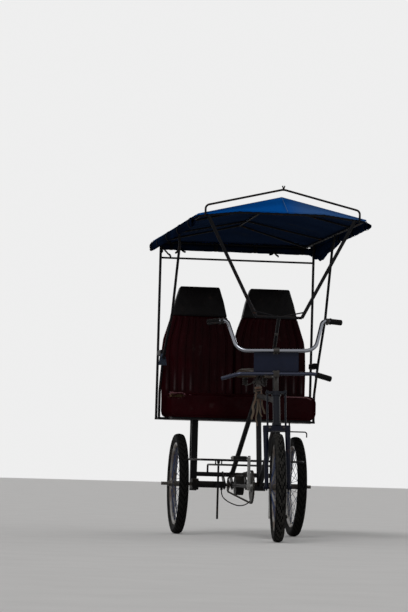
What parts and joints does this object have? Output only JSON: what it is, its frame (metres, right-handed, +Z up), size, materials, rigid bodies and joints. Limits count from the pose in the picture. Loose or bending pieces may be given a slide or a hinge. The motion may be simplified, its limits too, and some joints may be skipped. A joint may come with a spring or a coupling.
{
  "type": "cycle rickshaw",
  "caption": "Pedal rickshaw with a steered front wheel, rider's saddle, padded passenger bench between two rear wheels and a cloth canopy on rods.",
  "frame": {"origin": "on the ground under the middle of the whole vehicle's box", "axes": "+Z up, -Y the way it travels, +X the rider's left"},
  "size_m": [1.0686, 2.3414, 2.0463],
  "materials": {
    "tyre": "worn tread, grey with road dust",
    "wheel": "blue painted spokes and hub, bare steel rim",
    "axle_steel": "greasy turned steel",
    "chain_steel": "oiled and dusty",
    "crank_steel": "worn chrome",
    "frame_black": "black gloss paint, chipped",
    "fork_blue": "dark blue paint, chipped",
    "bar_chrome": "polished",
    "rubber": "matt black rubber",
    "sign_blue": "dark blue paint, bare of lettering",
    "saddle_leather": "brown leather, worn",
    "bench_vinyl": "maroon vinyl",
    "head_vinyl": "black vinyl",
    "canopy_cloth": "royal blue waterproof cloth",
    "curtain_cloth": "dark navy rolled cloth",
    "cable": "black cable sheath"
  },
  "bodies": {
    "frame": {"axle_housing": "frame_black", "rear_beam": "frame_black", "bench_legs": "frame_black", "head_tube": "frame_black", "bottom_bracket": "frame_black", "seat_tube": "frame_black", "top_tube": "frame_black", "down_tube": "frame_black", "spine_tube": "frame_black", "chain_stays": "frame_black", "seat_post": "axle_steel", "saddle": "saddle_leather", "chain": "chain_steel", "foot_deck": "frame_black", "deck_carriers": "frame_black", "drop_rod": "axle_steel", "guard_rod": "frame_black", "bench_pan": "frame_black", "bench_cushion": "bench_vinyl", "seat_back_left": "bench_vinyl", "seat_back_right": "bench_vinyl", "head_rest_left": "head_vinyl", "head_rest_right": "head_vinyl", "arm_rests": "rubber", "canopy_posts": "frame_black", "cross_bar": "frame_black", "canopy_rails": "frame_black", "canopy_ribs": "frame_black", "front_bow": "frame_black", "canopy_struts": "frame_black", "strut_base": "frame_black", "upright": "frame_black", "canopy_cover": "canopy_cloth", "curtain_rear": "curtain_cloth", "curtain_left": "curtain_cloth", "curtain_right": "curtain_cloth", "hanging_cable": "cable"},
    "steering": {"fork": "fork_blue", "yoke": "fork_blue", "stem": "axle_steel", "flat_bar": "bar_chrome", "riser_bar": "bar_chrome", "grips": "rubber", "sign_board": "sign_blue", "brake_lever": "bar_chrome"},
    "front_wheel": {"wheel_front": "wheel", "tyre_front": "tyre"},
    "driven_axle": {"drive_axle": "axle_steel", "rear_sprocket": "axle_steel", "brake_drum": "axle_steel", "wheel_rear_right": "wheel", "tyre_rear_right": "tyre"},
    "rear_wheel_left": {"wheel_rear_left": "wheel", "tyre_rear_left": "tyre"},
    "crankset": {"cranks": "crank_steel", "chain_ring": "chain_steel"},
    "pedal_left_body": {"pedal_left": "rubber"},
    "pedal_right_body": {"pedal_right": "rubber"}
  },
  "joints": [
    {"name": "steering", "type": "hinge", "parent": "frame", "child": "steering", "pos_m": [0, -0.84739, 0.30673], "axis": [0, 0.2334, 0.9724], "range_deg": [-44, 56]},
    {"name": "front_wheel_spin", "type": "hinge", "parent": "steering", "child": "front_wheel", "pos_m": [-0.00146, -0.86093, 0.30998], "axis": [0.9945, -0.1016, 0.0244], "continuous": true},
    {"name": "driven_axle_spin", "type": "hinge", "parent": "frame", "child": "driven_axle", "pos_m": [0, 0.691, 0.31], "axis": [1, 0, 0], "continuous": true},
    {"name": "rear_wheel_left_spin", "type": "hinge", "parent": "frame", "child": "rear_wheel_left", "pos_m": [0.3665, 0.691, 0.31], "axis": [1, 0, 0], "continuous": true},
    {"name": "crank_spin", "type": "hinge", "parent": "frame", "child": "crankset", "pos_m": [0, -0.204, 0.306], "axis": [1, 0, 0], "continuous": true},
    {"name": "pedal_left_spin", "type": "hinge", "parent": "crankset", "child": "pedal_left_body", "pos_m": [0.125, -0.204, 0.136], "axis": [1, 0, 0], "continuous": true},
    {"name": "pedal_right_spin", "type": "hinge", "parent": "crankset", "child": "pedal_right_body", "pos_m": [-0.125, -0.204, 0.476], "axis": [1, 0, 0], "continuous": true}
  ]
}
